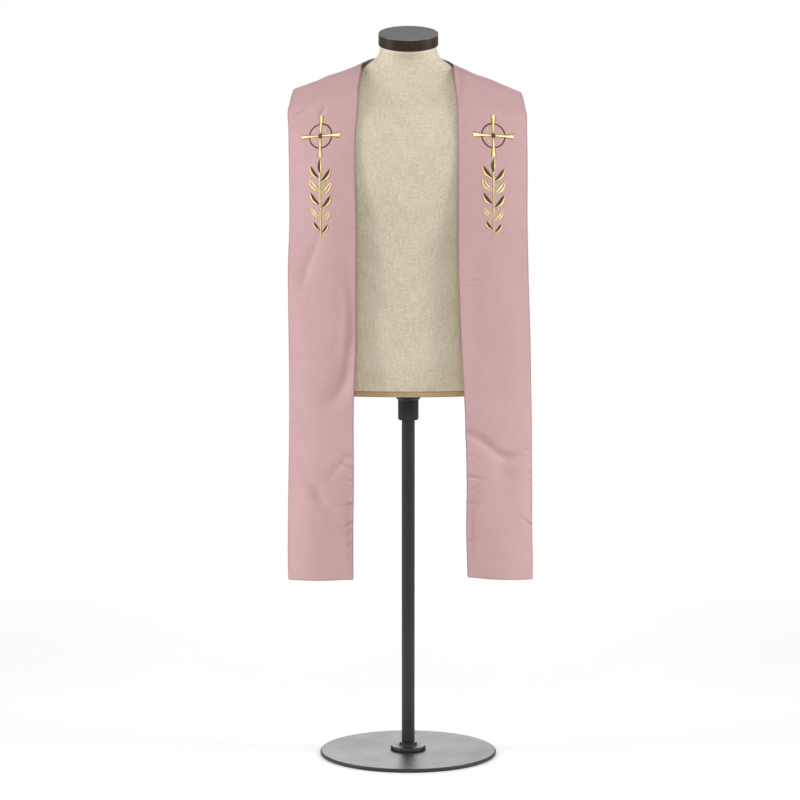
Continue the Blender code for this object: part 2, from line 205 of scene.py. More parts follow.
# Where the inner edge rolls back towards the neck: middle and half length along the cloth, width of the band
# and how far its edge goes back.
ROLLED_EDGE = {"right": (1.010, 0.105, 0.013, 0.0040), "left": (1.000, 0.135, 0.017, 0.0062)}
HEM_SAG = {"right": -0.0010, "left": 0.0006}  # how much the middle of each tip hangs below its corners
SAG_REACH = 0.05  # the sag fades out this far up

# ---- sizes: the dress form
# Outlines of the form: height, half width, depth in front and behind, middle, and power (2 is an ellipse,
# more is squarer).
TORSO = (
    (0.790, 0.166, 0.108, 0.114, 0.000, 2.3),
    (0.860, 0.174, 0.114, 0.122, 0.000, 2.3),
    (0.950, 0.170, 0.115, 0.117, 0.000, 2.3),
    (1.050, 0.162, 0.119, 0.104, 0.000, 2.3),
    (1.150, 0.172, 0.129, 0.107, 0.000, 2.4),
    (1.250, 0.190, 0.139, 0.117, 0.000, 2.5),
    (1.310, 0.207, 0.136, 0.124, 0.000, 2.5),
    (1.355, 0.227, 0.121, 0.124, 0.000, 2.5),
    (1.382, 0.238, 0.104, 0.116, 0.000, 2.5),
    (1.399, 0.235, 0.091, 0.108, 0.001, 2.4),
    (1.415, 0.216, 0.078, 0.098, 0.002, 2.3),
    (1.431, 0.180, 0.067, 0.089, 0.003, 2.2),
    (1.448, 0.140, 0.060, 0.081, 0.004, 2.1),
    (1.465, 0.106, 0.057, 0.074, 0.004, 2.0),
    (1.482, 0.082, 0.057, 0.069, 0.003, 2.0),
    (1.495, 0.067, 0.058, 0.062, 0.000, 2.0),
    (1.508, 0.0610, 0.0585, 0.0590, -0.004, 2.0),
    (1.520, 0.0600, 0.0590, 0.0590, -0.008, 2.0),
)
NECK_LEAN = math.radians(19.5)
NECK_LEAN_FROM = 1.485
TORSO_SEGMENTS = 150
BODY_RINGS = 70
SHOULDER_RINGS = 90
SHOULDER_FROM = 1.340
COVER_SEAMS = (0.0, math.pi / 2, math.pi)  # side seams and centre back, as angles round the form
SEAM_DEPTH, SEAM_HALF_WIDTH = 0.0009, 0.0012
ALLOWANCE_PLACE, ALLOWANCE_HALF_WIDTH, ALLOWANCE_HEIGHT = 0.0045, 0.003, 0.0003
SEAM_TURNS = (-0.022, -0.012, -0.006, 0.006, 0.012, 0.022)  # angles of the fine cells beside a seam
NECK_HEM = 0.0055  # the cover's turned edge below the neck block
NECK_HEM_PROUD = 0.0007

BLOCK_RADIUS = 0.0635
BLOCK_HEIGHT = 0.025
BOARD_HEIGHT = 0.012
BOARD_INSET = 0.004
SOCKET_RADIUS = 0.026
SOCKET_HEIGHT = 0.055
POLE_RADIUS = 0.014
FLANGE_RADIUS = 0.038
FLANGE_HEIGHT = 0.016
BASE_RADIUS = 0.190
BASE_HEIGHT = 0.008
TOUCH = 0.0003
ROUND_STEPS = 128

# ---- sizes: the embroidery
DESIGN_MIDDLE = 0.848  # from the tip of the stole to the middle of the design, along the cloth
THREAD = 0.00042
STITCH_ROW = 0.0006
SINK = 0.0004  # the stitching reaches this far into the cloth
DOME_POINTS = 9
LOOK_AHEAD = 0.0004  # a band's heading is read from points this far before and after
LOOSE_END = 0.0001  # stitches end unevenly by this at most
FULL_WIDTH = 0.003  # narrower bands stand less proud

CROSS_MIDDLE = 0.086  # heights and places in the design are from its middle
ARM_REACH, RING_RADIUS, DIAMOND, DOT_PLACE = 0.043, 0.0250, 0.0068, 0.0118
STEM_TOP, STEM_FOOT = 0.010, -0.131
# height, length and width of the leaves of each pair
LEAF_PAIRS = (
    (0.010, 0.034, 0.0120), (-0.017, 0.036, 0.0128), (-0.045, 0.034, 0.0120),
    (-0.072, 0.030, 0.0108), (-0.097, 0.024, 0.0092),
)
GOLD, PALE, BRONZE = range(3)  # rows of the threads: name, darkest and lightest colour, metallic
# The darkest colour of each thread is painted shade at a band's edges and between stitches; the lightest is a
# painted highlight along its middle.
THREADS = (
    ("gold_thread", (0.150, 0.088, 0.012, 1), (1.0, 0.86, 0.40, 1), 0.45),
    ("pale_thread", (0.40, 0.26, 0.11, 1), (0.92, 0.76, 0.47, 1), 0.40),
    ("bronze_thread", (0.012, 0.005, 0.002, 1), (0.110, 0.048, 0.012, 1), 0.10),
)

# ---- the stage: floor, camera and light
FLOOR_RADIUS = 3.2
FADE_STARTS, FADE_ENDS = 0.35, 2.8  # the floor fades out between these distances from its middle
LENS = 99.52
EYE = (-0.0177, -4.73, 1.08)
AIM_HEIGHT, AIM_DISTANCE = 0.774, 4.6
WHITE_SEEN, WHITE_CAST = 1.0, 0.31
# name, place, aim, width, height, watts
SOFTBOXES = (
    ("softbox_left", (-3.0, -0.66, 1.95), (-0.15, 0, 1.05), 1.2, 2.4, 66),
    ("softbox_right", (3.0, -0.66, 1.95), (0.15, 0, 1.05), 1.2, 2.4, 66),
    ("softbox_front", (0, -3.4, 2.3), (0, 0, 1.0), 1.8, 1.0, 47),
    ("softbox_back", (0, 3.4, 1.6), (0, 0, 1.0), 2.0, 1.8, 46),
)

# ---- how the cloth settles
NEARBY = 0.05  # the form is looked for this far from the cloth
SETTLE_ROUNDS = 24
SHARED_PUSHES = 3  # the first rounds share each push with the cloth beside it
SOFT_CONTACTS = ((0.006, 30), (0.003, 12), (0.0015, 0))  # softness in metres, then rounds of smoothing
SAME_POINT = 4.0e-6  # points of a turned piece this close are one
RIM_ANGLE = 35  # edges of the hard pieces sharper than this, in degrees, are rims


# ---- materials
class Socket:
    """An output in a material's nodes. Arithmetic on it adds Math nodes."""

    def __init__(self, finish, socket):
        self.finish = finish
        self.socket = socket

    def maths(self, operation, *terms):
        return self.finish.node("ShaderNodeMath", {"operation": operation}, dict(enumerate(terms)))

    def __add__(self, other):
        return self.maths("ADD", self, other)

    def __sub__(self, other):
        return self.maths("SUBTRACT", self, other)

    def __rsub__(self, other):
        return self.maths("SUBTRACT", other, self)

    def __mul__(self, other):
        return self.maths("MULTIPLY", self, other)

    def wave(self):
        return self.maths("SINE", self)

    def size(self):
        return self.maths("ABSOLUTE", self)

    def least(self, other):
        return self.maths("MINIMUM", self, other)

    def held(self):
        return self.finish.node("ShaderNodeClamp", {}, {"Value": self})


class Finish:
    """A material: one Principled shader, its constants, and the nodes that vary over the surface."""

    def __init__(self, name, **constants):
        self.material = bpy.data.materials.new(name)
        self.material.use_nodes = True
        self.nodes = self.material.node_tree.nodes
        self.links = self.material.node_tree.links
        self.shader = self.nodes["Principled BSDF"]
        self.feed(**constants)

    def join(self, socket, value):
        if isinstance(value, Socket):
            self.links.new(value.socket, socket)
        else:
            socket.default_value = value

    def node(self, kind, settings, inputs, output=0):
        made = self.nodes.new(kind)
        for name, value in settings.items():
            setattr(made, name, value)
        for key, value in inputs.items():
            self.join(made.inputs[key], value)
        return Socket(self, made.outputs[output])

    def feed(self, **values):
        for words, value in values.items():
            self.join(self.shader.inputs[words.replace("_", " ").title().replace("Ior", "IOR")], value)
        return self.material

    def split(self, vector):
        return [self.node("ShaderNodeSeparateXYZ", {}, {0: vector}, i) for i in range(3)]

    def cloth_place(self, layer):
        """Distances across and along the cloth, in metres."""
        return self.split(self.node("ShaderNodeUVMap", {"uv_map": layer}, {}))[:2]

    def solid_place(self):
        return self.split(self.node("ShaderNodeTexCoord", {}, {}, "Object"))

    def grain(self, x, y, z=0.0, detail=2.0, roughness=0.5):
        """Noise at the given place, where one unit is about the size of a blotch."""
        place = self.node("ShaderNodeCombineXYZ", {}, {0: x, 1: y, 2: z})
        inputs = {"Vector": place, "Scale": 1.0, "Detail": detail, "Roughness": roughness}
        return self.node("ShaderNodeTexNoise", {}, inputs)

    def mix(self, share, first, second):
        return self.node("ShaderNodeMix", {"data_type": "RGBA"}, {0: share, 6: first, 7: second}, 2)

    def done(self, color, roughness, relief, depth):
        """The finished material: its colour, its roughness and a relief this deep in metres."""
        normal = self.node("ShaderNodeBump", {}, {"Height": relief, "Distance": depth, "Strength": 1.0})
        return self.feed(base_color=color, roughness=roughness, normal=normal)


def turns(metres):
    """How fast a wave turns, in radians a metre, to repeat at this distance."""
    return 2 * math.pi / metres


def woven(finish, pitch, slub):
    """Places on the cloth, the height of a plain weave with uneven threads, and the unevenness by itself."""
    across, along = finish.cloth_place("cloth")
    weave = (across * turns(pitch)).wave() * (along * turns(pitch)).wave()
    weft_slub = finish.grain(across * 55, along * 1250)
    warp_slub = finish.grain(across * 1250, along * 55, 7.0)
    uneven = (weft_slub + warp_slub) * 0.5
    return across, along, weave * 0.5 + uneven * slub, uneven


def rose_cloth():
    cloth = Finish("rose_cloth", sheen_weight=0.16, sheen_roughness=0.42, sheen_tint=(0.95, 0.72, 0.74, 1))
    across, along, height, uneven = woven(cloth, 0.00092, 1.4)
    clouds = cloth.grain(across * 22, along * 16, 3.0, 3.0)
    fine_clouds = cloth.grain(across * 130, along * 130, 5.0)
    tone = (uneven - 0.5) * 1.1 + (clouds - 0.5) * 0.45 + (fine_clouds - 0.5) * 0.25 + 0.5
    # Painted shade: towards the folded edges and the tip the colour is mixed into a darker rose.
    from_edge = STOLE_WIDTH / 2 - (across - STOLE_WIDTH / 2).size()
    inside = (from_edge.least(along) * (1 / PAINTED_EDGE_SHADE)).held()
    unshaded_cloth = cloth.mix(tone.held(), (0.535, 0.315, 0.322, 1), (0.665, 0.425, 0.430, 1))
    color = cloth.mix(inside, (0.320, 0.190, 0.196, 1), unshaded_cloth)
    return cloth.done(color, uneven * 0.16 + 0.62, height, 0.00009)


def tan_lining():
    lining = Finish("tan_lining", sheen_weight=0.10, sheen_roughness=0.35, sheen_tint=(0.9, 0.8, 0.6, 1))
    across, along, height, uneven = woven(lining, 0.00050, 0.9)
    clouds = lining.grain(across * 30, along * 12, 11.0, 3.0)
    tone = (uneven - 0.5) * 1.1 + (clouds - 0.5) * 0.8 + 0.5
    color = lining.mix(tone.held(), (0.455, 0.395, 0.240, 1), (0.650, 0.575, 0.370, 1))
    return lining.done(color, uneven * 0.20 + 0.34, height, 0.00004)


def linen_cover():
    linen = Finish("linen_cover", sheen_weight=0.08, sheen_roughness=0.5)
    across, along, height, uneven = woven(linen, 0.00150, 1.8)
    clouds = linen.grain(across * 14, along * 14, 2.0, 3.0)
    thick_threads = linen.grain(across * 34, along * 430, 6.0) + linen.grain(across * 430, along * 34, 8.0)
    flecks = linen.grain(across * 210, along * 210, 9.0, 3.0, 0.7)
    tone = (uneven - 0.5) * 1.1 + (clouds - 0.5) * 0.5 + (flecks - 0.5) * 1.5 + 0.5
    tone = tone + (thick_threads - 1.0) * 0.9
    on_hem = ((along + NECK_HEM) * 3000).held()
    body = linen.mix(tone.held(), (0.545, 0.472, 0.341, 1), (0.828, 0.744, 0.582, 1))
    hem = linen.mix(tone.held(), (0.700, 0.640, 0.500, 1), (0.880, 0.830, 0.690, 1))
    return linen.done(linen.mix(on_hem, body, hem), uneven * 0.10 + 0.78, height, 0.00022)


def dark_painted_wood():
    paint = Finish("dark_painted_wood", ior=1.5, specular_ior_level=0.30, specular_tint=(1.0, 0.86, 0.70, 1))
    x, y, z = paint.solid_place()
    grain = paint.grain(x * 26, y * 26, z * 900, 3.0)
    scuffs = paint.grain(x * 60, y * 60, z * 60, 3.0)
    tone = (grain - 0.5) * 1.6 + (scuffs - 0.5) * 0.6 + 0.5
    side = paint.mix(tone.held(), (0.016, 0.0105, 0.006, 1), (0.052, 0.037, 0.023, 1))
    # Painted reflection: the top gets a light grey base colour standing in for the white surroundings
    # mirrored in the satin paint, while the sides stay dark brown.
    top = paint.mix(scuffs, (0.158, 0.148, 0.153, 1), (0.278, 0.266, 0.274, 1))
    below_top = BLOCK_HEIGHT / 2 - z
    painted_reflection_top = ((0.0006 - below_top) * 4000).held()
    # Painted highlight: a lighter line along the rounded top edge, where the light glints off the bevel.
    painted_rim_highlight = (1.0 - (below_top - 0.0010).size() * 1400).held() * (scuffs + 0.25)
    color = paint.mix(painted_rim_highlight.held(), paint.mix(painted_reflection_top, side, top), (0.330, 0.312, 0.290, 1))
    return paint.done(color, scuffs * 0.14 + painted_reflection_top * 0.10 + 0.33, grain, 0.00010)


def birch_board():
    board = Finish("birch_board", ior=1.48)
    x, y, z = board.solid_place()
    figure = board.grain(x * 9, y * 110, z * 110, 4.0, 0.6)
    plies = (z * turns(0.0026)).wave() * 0.5 + 0.5
    fibres = board.grain(x * 60, y * 1400, z * 1400, 2.0)
    tone = (figure - 0.5) * 0.9 + (plies - 0.5) * 0.55 + (fibres - 0.5) * 0.5 + 0.5
    color = board.mix(tone.held(), (0.330, 0.205, 0.098, 1), (0.640, 0.480, 0.290, 1))
    return board.done(color, fibres * 0.20 + 0.42, fibres, 0.00012)


def black_steel():
    steel = Finish("black_steel", ior=1.5)
    x, y, z = steel.solid_place()
    powder = steel.grain(x * 700, y * 700, z * 700, 2.0)
    smears = steel.grain(x * 9, y * 9, z * 9, 4.0, 0.6)
    tone = (powder - 0.5) * 0.8 + (smears - 0.5) * 0.8 + 0.5
    color = steel.mix(tone.held(), (0.010, 0.010, 0.011, 1), (0.030, 0.030, 0.032, 1))
    return steel.done(color, smears * 0.22 + 0.32, powder, 0.00008)


def thread(name, dark, light, metallic):
    """Glossy embroidery thread: each stitch is a round ridge across the band."""
    made = Finish(name, metallic=metallic, specular_ior_level=0.35)
    across, along = made.cloth_place("stitch")
    ridge = (along * turns(THREAD)).wave() * 0.5 + 0.5
    strand = made.grain(across * 0.6, along * (1.0 / THREAD), 4.0, 1.0)
    patch = made.grain(across * 0.8, along * 110, 1.0)
    # Painted highlight and shade: the colour is lighter along the middle of each band and darker towards its
    # edges and in the grooves between stitches.
    dome = 1.0 - across * across
    tone = dome * 1.15 + (strand - 0.5) * 0.8 + (patch - 0.5) * 0.5 + (ridge - 0.5) * 0.25 - 0.22
    return made.done(made.mix(tone.held(), dark, light), strand * 0.16 + 0.27, ridge + strand * 0.5, 0.00011)


# ---- making meshes
def steps(start, end, count):
    """Evenly spaced values from start to end."""
    return [start + (end - start) * i / count for i in range(count + 1)]


def smooth_reader(keys, values):
    """A smooth curve through values at rising keys, read at any key (Catmull-Rom, held at its ends)."""

    def read(key):
        key = min(max(key, keys[0]), keys[-1])
        i = 0
        while i < len(keys) - 2 and key > keys[i + 1]:
            i += 1
        before, after = max(i - 1, 0), min(i + 2, len(keys) - 1)
        span = keys[i + 1] - keys[i]
        t = (key - keys[i]) / span
        start = (values[i + 1] - values[before]) / (keys[i + 1] - keys[before]) * span
        end = (values[after] - values[i]) / (keys[after] - keys[i]) * span
        return (
            values[i] * (2 * t**3 - 3 * t**2 + 1)
            + start * (t**3 - 2 * t**2 + t)
            + values[i + 1] * (3 * t**2 - 2 * t**3)
            + end * (t**3 - t**2)
        )

    return read


def place_object(name, data):
    made = bpy.data.objects.new(name, data)
    bpy.context.scene.collection.objects.link(made)
    return made


def mesh_from(shape, name):
    mesh = bpy.data.meshes.new(name)
    shape.to_mesh(mesh)
    shape.free()
    return mesh


def finish_mesh(shape, name, finishes, smooth_angle, closed=True):
    """Closes a bmesh into an object that rides on the frame."""
    if closed:
        bmesh.ops.recalc_face_normals(shape, faces=shape.faces)
    mesh = mesh_from(shape, name)
    mesh.shade_smooth()
    mesh.set_sharp_from_angle(angle=math.radians(smooth_angle))
    piece = place_object(name, mesh)
    for finish in finishes:
        mesh.materials.append(finish)
    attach(piece, "root")
    return piece


def surface(name, points, places, finish, flip):
    """An open sheet through rows of points, with its distances across and along as the cloth layer."""
    rows, columns = points.shape[:2]
    shape = bmesh.new()
    bmesh.ops.create_grid(shape, x_segments=columns - 1, y_segments=rows - 1, size=0.5)
    shape.verts.ensure_lookup_table()
    flat_places = places.reshape(-1, 2)
    for vertex, point in zip(shape.verts, points.reshape(-1, 3)):
        vertex.co = point
    layer = shape.loops.layers.uv.new("cloth")
    for face in shape.faces:
        for loop in face.loops:
            loop[layer].uv = flat_places[loop.vert.index]
    if flip:
        bmesh.ops.reverse_faces(shape, faces=shape.faces)
    return finish_mesh(shape, name, [finish], 60, closed=False)


def round_edges(piece, width, sharper_than, segments=3):
    edge = piece.modifiers.new("rounded edges", "BEVEL")
    edge.width = width
    edge.segments = segments
    edge.limit_method = "ANGLE"
    edge.angle_limit = math.radians(sharper_than)


def thicken(piece, wall, rounding):
    layer = piece.modifiers.new("wall", "SOLIDIFY")
    layer.thickness = wall
    layer.offset = -1
    round_edges(piece, rounding, 55)


def turned(name, outline, finish, bevel, segments=3):
    """A round piece from the (radius, height) points of its outline, bottom to top, closed to the axis."""
    shape = bmesh.new()
    profile = [(0, outline[0][1]), *outline, (0, outline[-1][1])]
    line = [shape.verts.new((radius, 0, height)) for radius, height in profile]
    edges = [shape.edges.new(pair) for pair in zip(line, line[1:])]
    bmesh.ops.spin(
        shape, geom=line + edges, axis=(0, 0, 1), cent=(0, 0, 0), angle=2 * math.pi, steps=ROUND_STEPS
    )
    bmesh.ops.remove_doubles(shape, verts=shape.verts, dist=SAME_POINT)
    piece = finish_mesh(shape, name, [finish], RIM_ANGLE)
    round_edges(piece, bevel, RIM_ANGLE, segments)
    return piece


# ---- the dress form
def torso_angles():
    """Angles round the form, closer together at the cover's seams."""
    angles = steps(0, 2 * math.pi, TORSO_SEGMENTS)[:-1]
    for seam in COVER_SEAMS:
        angles += [(seam + turn) % (2 * math.pi) for turn in SEAM_TURNS]
    return sorted(angles)


def torso_ring(readers, z, angles):
    half_width, front, behind, middle, power = (read(z) for read in readers)
    top = TORSO[-1][0]
    lean = NECK_LEAN * max(0.0, (z - NECK_LEAN_FROM) / (top - NECK_LEAN_FROM))
    ring = []
    for angle in angles:
        across, along = math.cos(angle), math.sin(angle)
        reach = behind if along > 0 else front
        x = half_width * math.copysign(abs(across) ** (2 / power), across)
        y = reach * math.copysign(abs(along) ** (2 / power), along)
        ring.append(Vector((x, middle + y, z + y * math.tan(lean))))
    return ring


def torso_rings():
    keys, *columns = zip(*TORSO)
    readers = [smooth_reader(keys, column) for column in columns]
    bottom, top = keys[0], keys[-1]
    heights = steps(bottom, SHOULDER_FROM, BODY_RINGS)[:-1] + steps(SHOULDER_FROM, top, SHOULDER_RINGS)
    angles = torso_angles()
    return heights, angles, [torso_ring(readers, z, angles) for z in heights]


def seam_offset(angle, radius):
    """How far the cover stands in or out at its seams: a fine valley between two soft ridges."""
    offset = 0.0
    for seam in COVER_SEAMS:
        turn = (angle - seam + math.pi) % (2 * math.pi) - math.pi
        gap = turn * radius
        offset -= SEAM_DEPTH * math.exp(-((gap / SEAM_HALF_WIDTH) ** 2))
        offset += ALLOWANCE_HEIGHT * math.exp(-(((abs(gap) - ALLOWANCE_PLACE) / ALLOWANCE_HALF_WIDTH) ** 2))
    return offset


def panel_middle(angle):
    """The angle of the middle of the cover's panel at this angle: each is cut and woven by itself."""
    ends = COVER_SEAMS[1:] + (COVER_SEAMS[0] + 2 * math.pi,)
    return next((start + end) / 2 for start, end in zip(COVER_SEAMS, ends) if angle < end)


def cover_piece(rings, heights, angles, finish):
    """The linen cover, with its seams, its turned edge at the neck and a little unevenness."""
    top = heights[-1]
    shape = bmesh.new()
    layer = shape.loops.layers.uv.new("cloth")
    made, around = [], []
    down = [[0.0] * len(angles)]
    for upper, lower in zip(rings[::-1], rings[-2::-1]):
        down.append([so_far + (a - b).length for so_far, a, b in zip(down[-1], upper, lower)])
    down.reverse()
    for z, ring in zip(heights, rings):
        centre = sum(ring, Vector()) / len(ring)
        verts, distance, total = [], [], 0.0
        for i, (angle, point) in enumerate(zip(angles, ring)):
            outward = Vector((point.x - centre.x, point.y - centre.y, 0))
            radius = outward.length
            outward.normalize()
            lift = seam_offset(angle, radius)
            lift += 0.0005 * noise.noise(point * 24) + 0.00025 * noise.noise(point * 70)
            if z > top - NECK_HEM:
                lift += NECK_HEM_PROUD
            verts.append(shape.verts.new(point + outward * lift))
            distance.append(total)
            total += (ring[(i + 1) % len(ring)] - point).length
        made.append(verts)
        around.append((distance, total))
    for row in range(len(made) - 1):
        for i in range(len(angles)):
            j = (i + 1) % len(angles)
            middle = panel_middle(angles[i] + 0.001)
            corners = ((row, i), (row, j), (row + 1, j), (row + 1, i))
            face = shape.faces.new([made[r][c] for r, c in corners])
            for loop, (r, c) in zip(face.loops, corners):
                distance, total = around[r]
                reach = total if (c == 0 and i > 0) else distance[c]
                loop[layer].uv = (reach - float(np.interp(middle, angles, distance)), -down[r][c])
    shape.faces.new(list(reversed(made[0])))
    shape.faces.new(made[-1])
    piece = finish_mesh(shape, "dress_form_cover", [finish], 50)
    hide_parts("torso")
    return piece


def board_piece(ring, finish):
    """The hip board: the cover's lowest outline drawn in a little."""
    bottom = TORSO[0][0] - TOUCH
    shape = bmesh.new()
    rim = []
    for point in ring:
        scale = 1 - BOARD_INSET / math.hypot(point.x, point.y)
        rim.append(shape.verts.new((point.x * scale, point.y * scale, bottom)))
    face = shape.faces.new(rim)
    grown = bmesh.ops.extrude_face_region(shape, geom=[face])
    lowered = [v for v in grown["geom"] if isinstance(v, bmesh.types.BMVert)]
    bmesh.ops.translate(shape, verts=lowered, vec=(0, 0, -BOARD_HEIGHT))
    piece = finish_mesh(shape, "hip_board_ply", [finish], RIM_ANGLE)
    round_edges(piece, 0.0012, 50)
    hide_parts("hip_board")


def build_stand():
    steel = black_steel()
    board_under = TORSO[0][0] - TOUCH - BOARD_HEIGHT
    socket_foot = board_under - TOUCH - SOCKET_HEIGHT
    flange_foot = BASE_HEIGHT + TOUCH
    flange_top = flange_foot + FLANGE_HEIGHT
    pole_foot, pole_top = flange_top + TOUCH, socket_foot - TOUCH
    plate = [
        (BASE_RADIUS - 0.0015, 0), (BASE_RADIUS, 0.0015), (BASE_RADIUS, BASE_HEIGHT - 0.002),
        (BASE_RADIUS - 0.002, BASE_HEIGHT),
    ]
    flange = [
        (FLANGE_RADIUS, flange_foot), (FLANGE_RADIUS, flange_foot + 0.005),
        (FLANGE_RADIUS - 0.003, flange_foot + 0.008), (0.021, flange_foot + 0.009),
        (0.0185, flange_foot + 0.011), (0.0185, flange_top),
    ]
    pole = [(POLE_RADIUS, pole_foot), (POLE_RADIUS, pole_top)]
    socket_top = socket_foot + SOCKET_HEIGHT
    socket = [
        (SOCKET_RADIUS - 0.006, socket_foot), (SOCKET_RADIUS - 0.004, socket_foot + 0.004),
        (SOCKET_RADIUS - 0.004, socket_top - 0.012), (SOCKET_RADIUS, socket_top - 0.008),
        (SOCKET_RADIUS, socket_top),
    ]
    for name, outline, node, bevel in (
        ("base_disc", plate, "base_plate", 0.0009),
        ("floor_flange", flange, "flange", 0.0008),
        ("pole_tube", pole, "pole", 0.0008),
        ("pole_socket", socket, "socket", 0.0008),
    ):
        piece = turned(name, outline, steel, bevel)
        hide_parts(node)


def build_block(finish):
    top, middle = TORSO[-1][0], TORSO[-1][4]
    half = BLOCK_HEIGHT / 2
    outline = [(BLOCK_RADIUS, -half), (BLOCK_RADIUS, half)]
    piece = turned("neck_block_turned", outline, finish, 0.0016, 4)
    up = Vector((0, -math.sin(NECK_LEAN), math.cos(NECK_LEAN)))
    piece.location = Vector((0, middle, top)) + up * (TOUCH + half)
    piece.rotation_euler = (NECK_LEAN, 0, 0)
    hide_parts("neck_block")


# ---- the stole
def station_points(half, side):
    """Inner and outer edge points at every station, tip first."""
    stations = []
    for z_in, z_out, x_in, x_out, y, back in FRONTS[half]:
        stations.append((Vector((side * x_in, y, z_in)), Vector((side * x_out, y + back, z_out))))
    left = 1 if side > 0 else 0
    for x_in, y_in, z_in, x_out, y_out, z_out, drop_in, drop_out, draw_in, draw_out in NECK:
        inner = Vector((side * (x_in - left * draw_in), y_in, z_in - left * drop_in))
        outer = Vector((side * (x_out - left * draw_out), y_out, z_out - left * drop_out))
        stations.append((inner, outer))
    return stations


def station_bows(stations):
    """How far the cloth bows out between its edges at each station, eased along the stole."""
    bows = []
    for inner, outer in stations:
        chord = (outer - inner).length
        bows.append(math.sqrt(3 * chord * max(0.0, STOLE_WIDTH - chord) / 8))
    for _ in range(BOW_ROUNDS):
        ends = [bows[0]] + bows + [bows[-1]]
        bows = [(before + 2 * bow + after) / 4 for before, bow, after in zip(ends, bows, ends[2:])]
    return bows


def edge_readers(stations):
    """Smooth curves of the two edges and the bow between them, and the keys of the collarbone and the end."""
    keys = [0.0]
    for (a, b), (c, d) in zip(stations, stations[1:]):
        keys.append(keys[-1] + ((c - a).length + (d - b).length) / 2)
    readers = [smooth_reader(keys, values) for values in (*zip(*stations), station_bows(stations))]
    return readers, keys[len(stations) - len(NECK)], keys[-1]


def across_places():
    """Distances from the inner edge, with fine cells along both folded edges."""
    middle = steps(EDGE_CELLS[-1], STOLE_WIDTH - EDGE_CELLS[-1], CELLS_ACROSS)[1:-1]
    return [*EDGE_CELLS, *middle, *(STOLE_WIDTH - place for place in reversed(EDGE_CELLS))]


def along_places(collarbone, end):
    front = steps(EDGE_CELLS[-1], collarbone, CELLS_FRONT)[1:]
    neck = steps(collarbone, end - SEAM_FLAT, CELLS_NECK)[1:]
    return [*EDGE_CELLS, *front, *neck, end - SEAM_FLAT / 2, end]


def round_corner(across, along):
    """Moves a place near a corner of the tip onto the rounded corner."""
    for inner in (True, False):
        inside = across if inner else STOLE_WIDTH - across
        if inside < CORNER_RADIUS and along < CORNER_RADIUS:
            x, y = 1 - inside / CORNER_RADIUS, 1 - along / CORNER_RADIUS
            inside = CORNER_RADIUS * (1 - x * math.sqrt(1 - y * y / 2))
            along = CORNER_RADIUS * (1 - y * math.sqrt(1 - x * x / 2))
            across = inside if inner else STOLE_WIDTH - inside
    return across, along


def cloth_points(half, side):
    """The cloth's points before it settles, and each point's distances across and along."""
    (inner_at, outer_at, bow_at), collarbone, end = edge_readers(station_points(half, side))
    points, places = [], []
    for key in along_places(collarbone, end):
        row, row_places = [], []
        for place in across_places():
            across, along = round_corner(place, key)
            inner, outer = inner_at(along), outer_at(along)
            chord = outer - inner
            outward = Vector((chord.y, -chord.x, 0)) * side
            outward.normalize()
            share = across / STOLE_WIDTH
            point = inner + chord * share + outward * (4 * bow_at(along) * share * (1 - share))
            point.z -= HEM_SAG[half] * 4 * share * (1 - share) * math.exp(-((along / SAG_REACH) ** 2))
            row.append(point)
            row_places.append((across, along))
        points.append(row)
        places.append(row_places)
    return np.array(points), np.array(places)


def neighbours_mean(field):
    """Each value replaced by the mean of itself and the values beside it in the grid."""
    padded = np.pad(field, ((1, 1), (1, 1), (0, 0)), mode="edge")
    beside = padded[:-2, 1:-1] + padded[2:, 1:-1] + padded[1:-1, :-2] + padded[1:-1, 2:]
    return (beside + 2 * field) / 6


def off_form(points, body):
    """For each point of the grid near the form: its index, the form's normal and how far off it lies."""
    for index in np.ndindex(points.shape[:2]):
        at = Vector(points[index])
        near, normal, _, distance = body.find_nearest(at, NEARBY)
        if near is not None:
            yield index, normal, math.copysign(distance, (at - near).dot(normal))


def drape_over(points, body, softness):
    """Lifts the cloth off the form, more gently the further off it is, so it meets it without a crease."""
    lifted = points.copy()
    for index, normal, off in off_form(points, body):
        lifted[index] += normal * (softness * math.log1p(math.exp((CLEARANCE - off) / softness)))
    return lifted


def settle(points, body):
    """Pushes the cloth out of the form, each push shared softly with the cloth beside it."""
    for attempt in range(SETTLE_ROUNDS):
        pushes = np.zeros_like(points)
        for index, normal, off in off_form(points, body):
            if off < CLEARANCE - 1e-6:
                pushes[index] = normal * (CLEARANCE - off)
        if not pushes.any():
            break
        wide = pushes
        for _ in range(max(0, SHARED_PUSHES - attempt)):
            wide = neighbours_mean(wide)
        points = points + np.where(np.abs(wide) > np.abs(pushes), wide, pushes)
    return points


def normals_of(points, side):
    """Outward unit normals of the grid."""
    normal = np.cross(np.gradient(points, axis=1), np.gradient(points, axis=0)) * side
    return normal / np.linalg.norm(normal, axis=2, keepdims=True)


def fold_heights(half, across, along):
    total = np.zeros_like(across)
    for place_along, place_across, degrees, half_length, half_width, height in FOLDS[half]:
        lean = math.radians(degrees)
        du, dv = across - place_across, along - place_along
        lengthwise = (dv * math.cos(lean) + du * math.sin(lean)) / half_length
        aside = (du * math.cos(lean) - dv * math.sin(lean)) / half_width
        total += height * np.exp(-(lengthwise**2) - aside**2)
    return total


def pucker_heights(half, across, along):
    total = np.zeros_like(across)
    for edge, place, lean, reach, depth in PUCKERS[half]:
        inside = across if edge == "inner" else STOLE_WIDTH - across
        middle = place + inside * math.tan(math.radians(lean))
        aside = (along - middle) / PUCKER_HALF_WIDTH
        wave = (1 - aside**2) * np.exp(-(aside**2) / 1.4)
        held = 1 - 0.75 * np.exp(-((inside / PUCKER_STARTS) ** 2))
        total -= depth * wave * held * np.exp(-((inside / reach) ** 2))
    return total


